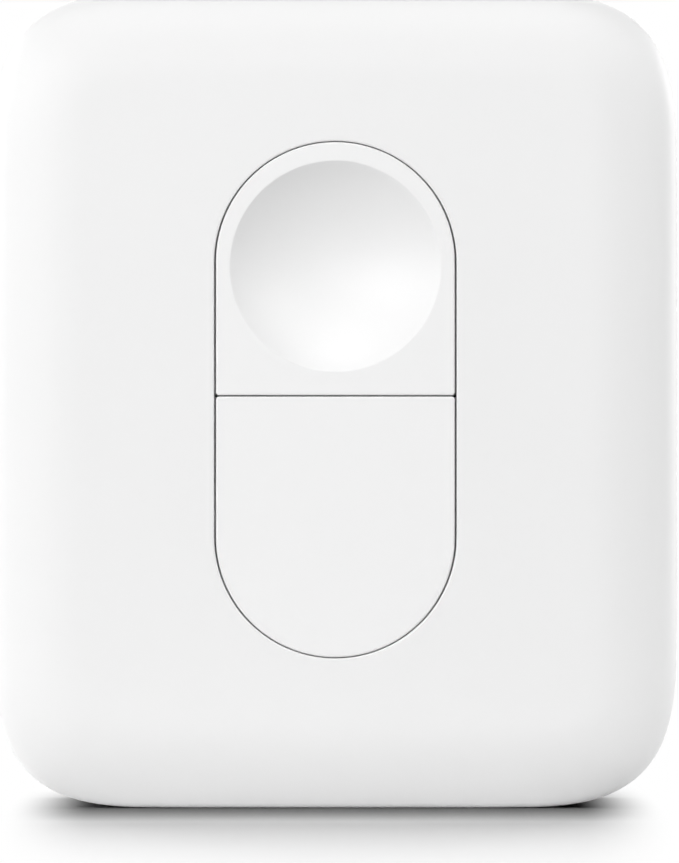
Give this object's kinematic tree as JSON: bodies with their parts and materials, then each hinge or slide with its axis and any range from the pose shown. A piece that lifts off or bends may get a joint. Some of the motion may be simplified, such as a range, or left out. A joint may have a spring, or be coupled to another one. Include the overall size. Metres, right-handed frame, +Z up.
{
  "type": "smart button",
  "caption": "Wireless smart button: soft-edged white housing with a dished button above a flat one in a stadium opening, pry-off back cover over a coin cell.",
  "frame": {"origin": "middle of the lower edge that it stands on, at the centre of its width and depth", "axes": "+Z up the face towards the dished button, +Y from the front face to the back cover, +X to the right as seen from the front"},
  "size_m": [0.036, 0.0124, 0.043],
  "materials": {
    "shell_abs": "white moulded ABS with a fine matt texture",
    "key_abs": "white moulded ABS, slightly smoother than the covers",
    "frame_abs": "pale grey moulded ABS",
    "board_laminate": "green solder mask over glass-epoxy laminate",
    "switch_resin": "black heat-proof resin",
    "plunger_resin": "off-white nylon",
    "spring_steel": "bright stainless spring steel",
    "tinned_brass": "tin-plated brass",
    "chip_resin": "black epoxy with a fine grain",
    "crystal_lid": "nickel-plated lid",
    "copper_trace": "gold-plated copper",
    "led_lens": "clear resin over a pale phosphor",
    "chip_ceramic": "tan ceramic with tinned ends",
    "contact_steel": "nickel-plated spring steel",
    "cell_steel": "bright stainless sheet",
    "cell_seal": "dark polypropylene",
    "cell_pellet": "pressed oxide powder",
    "screw_steel": "zinc-plated steel"
  },
  "bodies": {
    "housing": {"front_cover": "shell_abs", "battery_frame": "frame_abs", "main_board": "board_laminate", "radio_chip": "chip_resin", "crystal_can": "crystal_lid", "antenna_trace": "copper_trace", "status_led": "led_lens", "chip_parts": "chip_ceramic", "positive_contact": "contact_steel", "negative_contact": "contact_steel", "coin_cell_can": "cell_steel", "coin_cell_seal": "cell_seal", "coin_cell_cap": "cell_steel", "coin_cell_pellet": "cell_pellet", "frame_screws": "screw_steel", "upper_switch_base": "switch_resin", "upper_switch_dome": "spring_steel", "upper_switch_shield": "spring_steel", "upper_switch_leads": "tinned_brass", "lower_switch_base": "switch_resin", "lower_switch_dome": "spring_steel", "lower_switch_shield": "spring_steel", "lower_switch_leads": "tinned_brass"},
    "upper_key": {"dish_button": "key_abs"},
    "lower_key": {"flat_button": "key_abs"},
    "upper_plunger": {"upper_switch_plunger": "plunger_resin"},
    "lower_plunger": {"lower_switch_plunger": "plunger_resin"},
    "rear_cover": {"back_cover": "shell_abs"}
  },
  "joints": [
    {"name": "upper_key_press", "type": "slide", "parent": "housing", "child": "upper_key", "axis": [0, 1, 0], "range_m": [0, 0.0003], "stiffness_N_per_m": 4000, "springref_m": -0.0001},
    {"name": "upper_plunger_press", "type": "slide", "parent": "housing", "child": "upper_plunger", "axis": [0, 1, 0], "range_m": [0, 0.0003], "deforming": ["upper_switch_dome"]},
    {"name": "lower_key_press", "type": "slide", "parent": "housing", "child": "lower_key", "axis": [0, 1, 0], "range_m": [0, 0.0003], "stiffness_N_per_m": 4000, "springref_m": -0.0001},
    {"name": "lower_plunger_press", "type": "slide", "parent": "housing", "child": "lower_plunger", "axis": [0, 1, 0], "range_m": [0, 0.0003], "deforming": ["lower_switch_dome"]},
    {"name": "cover_lift", "type": "slide", "parent": "housing", "child": "rear_cover", "axis": [0, 1, 0], "range_m": [0, 0.02]}
  ],
  "couplings": [
    {"joint": "upper_plunger_press", "follows": "upper_key_press", "ratio": 1},
    {"joint": "lower_plunger_press", "follows": "lower_key_press", "ratio": 1}
  ]
}
